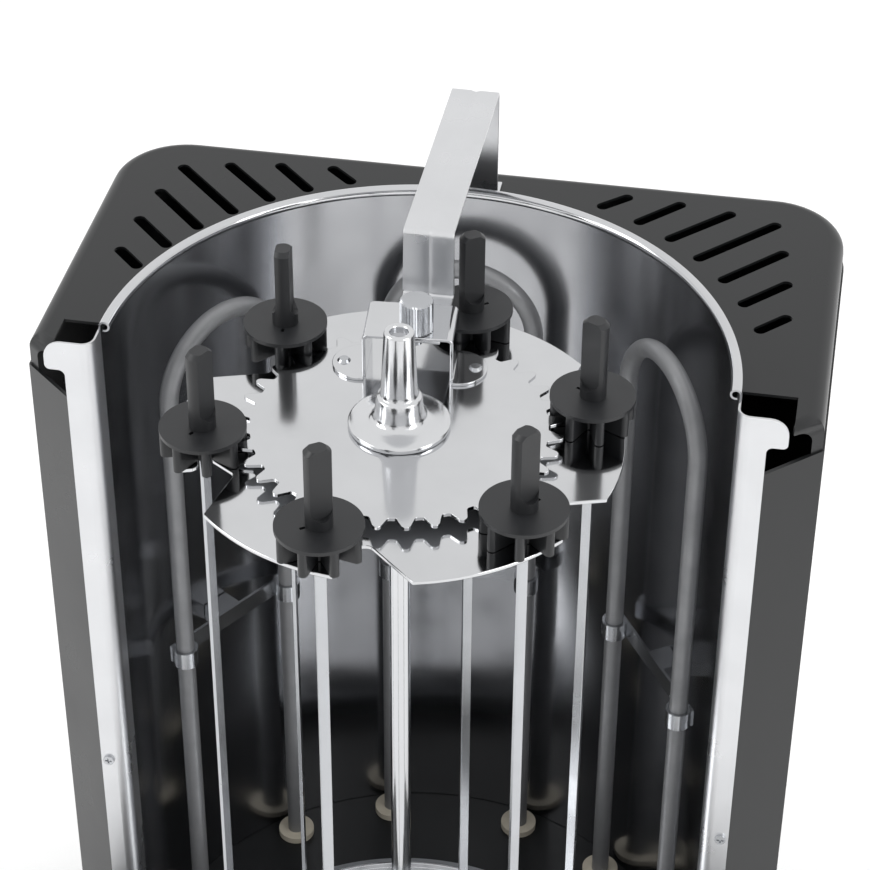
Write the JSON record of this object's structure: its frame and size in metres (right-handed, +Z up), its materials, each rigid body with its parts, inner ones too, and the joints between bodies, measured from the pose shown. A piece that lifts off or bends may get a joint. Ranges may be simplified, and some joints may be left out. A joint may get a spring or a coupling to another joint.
{
  "type": "electric skewer grill",
  "caption": "Upright electric skewer grill with a mirror reflector, tube heaters, a motor-driven carousel of geared flat skewers, a slotted top, controls and a slide-out grease drawer.",
  "frame": {"origin": "on the table under the middle of the grill, in the plane of the housing's two front corners", "axes": "+X to the right seen from the front, +Y to the back, +Z up"},
  "size_m": [0.3, 0.3, 0.4605],
  "materials": {
    "black_paint": "satin",
    "mirror_steel": "polished",
    "bright_steel": "satin",
    "heater_sheath": "matte",
    "head_casting": "satin",
    "black_plastic": "satin",
    "white_plastic": "satin",
    "red_plastic": "gloss",
    "ceramic": "matte",
    "rubber": "matte"
  },
  "bodies": {
    "root": {"base_housing": "black_paint", "bottom_plate": "bright_steel", "feet": "rubber", "bottom_screws": "bright_steel", "housing_shell": "black_paint", "rear_panel": "black_paint", "rear_screws": "bright_steel", "top_plate": "black_paint", "reflector": "mirror_steel", "reflector_screws": "bright_steel", "heater_left": "heater_sheath", "heater_centre": "heater_sheath", "heater_right": "heater_sheath", "heater_clips": "bright_steel", "heater_bushes": "ceramic", "terminal_block": "ceramic", "thermal_cutout": "black_plastic", "strap": "mirror_steel", "strap_screws": "bright_steel", "sun_gear": "mirror_steel", "sun_bracket": "mirror_steel", "bracket_rivets": "bright_steel", "hub": "mirror_steel", "motor": "bright_steel", "motor_bracket": "bright_steel", "motor_screws": "bright_steel", "drip_pan": "bright_steel", "control_panel": "black_paint", "timer_body": "white_plastic", "indicator_lens": "red_plastic", "switch_frames": "black_plastic", "drawer_runners": "bright_steel", "cable_gland": "black_plastic"},
    "carousel": {"drive_coupling": "bright_steel", "spit_rod": "mirror_steel", "turntable": "mirror_steel", "carrier": "mirror_steel", "carrier_nut": "bright_steel"},
    "skewer_1": {"skewer_blade_1": "bright_steel", "skewer_head_1": "head_casting"},
    "skewer_2": {"skewer_blade_2": "bright_steel", "skewer_head_2": "head_casting"},
    "skewer_3": {"skewer_blade_3": "bright_steel", "skewer_head_3": "head_casting"},
    "skewer_4": {"skewer_blade_4": "bright_steel", "skewer_head_4": "head_casting"},
    "skewer_5": {"skewer_blade_5": "bright_steel", "skewer_head_5": "head_casting"},
    "skewer_6": {"skewer_blade_6": "bright_steel", "skewer_head_6": "head_casting"},
    "drawer": {"drawer_tray": "bright_steel", "drawer_front": "black_paint"},
    "timer_knob": {"timer_knob": "black_plastic"},
    "rocker_left": {"rocker_left": "red_plastic"},
    "rocker_right": {"rocker_right": "red_plastic"},
    "thumb_screw": {"thumb_screw": "bright_steel"}
  },
  "joints": [
    {"name": "carousel_spin", "type": "hinge", "parent": "root", "child": "carousel", "pos_m": [0, -0.038, 0.1], "axis": [0, 0, 1], "continuous": true},
    {"name": "skewer_spin_1", "type": "hinge", "parent": "carousel", "child": "skewer_1", "pos_m": [0.06629, -0.01646, 0.4], "axis": [0, 0, 1], "continuous": true},
    {"name": "skewer_spin_2", "type": "hinge", "parent": "carousel", "child": "skewer_2", "pos_m": [0.01449, 0.03018, 0.4], "axis": [0, 0, 1], "continuous": true},
    {"name": "skewer_spin_3", "type": "hinge", "parent": "carousel", "child": "skewer_3", "pos_m": [-0.0518, 0.00864, 0.4], "axis": [0, 0, 1], "continuous": true},
    {"name": "skewer_spin_4", "type": "hinge", "parent": "carousel", "child": "skewer_4", "pos_m": [-0.06629, -0.05954, 0.4], "axis": [0, 0, 1], "continuous": true},
    {"name": "skewer_spin_5", "type": "hinge", "parent": "carousel", "child": "skewer_5", "pos_m": [-0.01449, -0.10618, 0.4], "axis": [0, 0, 1], "continuous": true},
    {"name": "skewer_spin_6", "type": "hinge", "parent": "carousel", "child": "skewer_6", "pos_m": [0.0518, -0.08464, 0.4], "axis": [0, 0, 1], "continuous": true},
    {"name": "drawer_slide", "type": "slide", "parent": "root", "child": "drawer", "axis": [0, -1, 0], "range_m": [0, 0.15]},
    {"name": "timer_turn", "type": "hinge", "parent": "root", "child": "timer_knob", "pos_m": [0.076, -0.138, 0.067], "axis": [0, -1, 0], "range_deg": [-300, 0]},
    {"name": "rocker_left_tilt", "type": "hinge", "parent": "root", "child": "rocker_left", "pos_m": [-0.084, -0.1368, 0.067], "axis": [-1, 0, 0], "range_deg": [0, 16]},
    {"name": "rocker_right_tilt", "type": "hinge", "parent": "root", "child": "rocker_right", "pos_m": [-0.046, -0.1368, 0.067], "axis": [-1, 0, 0], "range_deg": [0, 16]},
    {"name": "thumb_screw_turn", "type": "hinge", "parent": "root", "child": "thumb_screw", "pos_m": [0, -0.0042, 0.434], "axis": [0, 0, 1], "range_deg": [0, 720]}
  ],
  "couplings": [
    {"joint": "skewer_spin_1", "follows": "carousel_spin", "ratio": 4.5},
    {"joint": "skewer_spin_2", "follows": "carousel_spin", "ratio": 4.5},
    {"joint": "skewer_spin_3", "follows": "carousel_spin", "ratio": 4.5},
    {"joint": "skewer_spin_4", "follows": "carousel_spin", "ratio": 4.5},
    {"joint": "skewer_spin_5", "follows": "carousel_spin", "ratio": 4.5},
    {"joint": "skewer_spin_6", "follows": "carousel_spin", "ratio": 4.5}
  ]
}
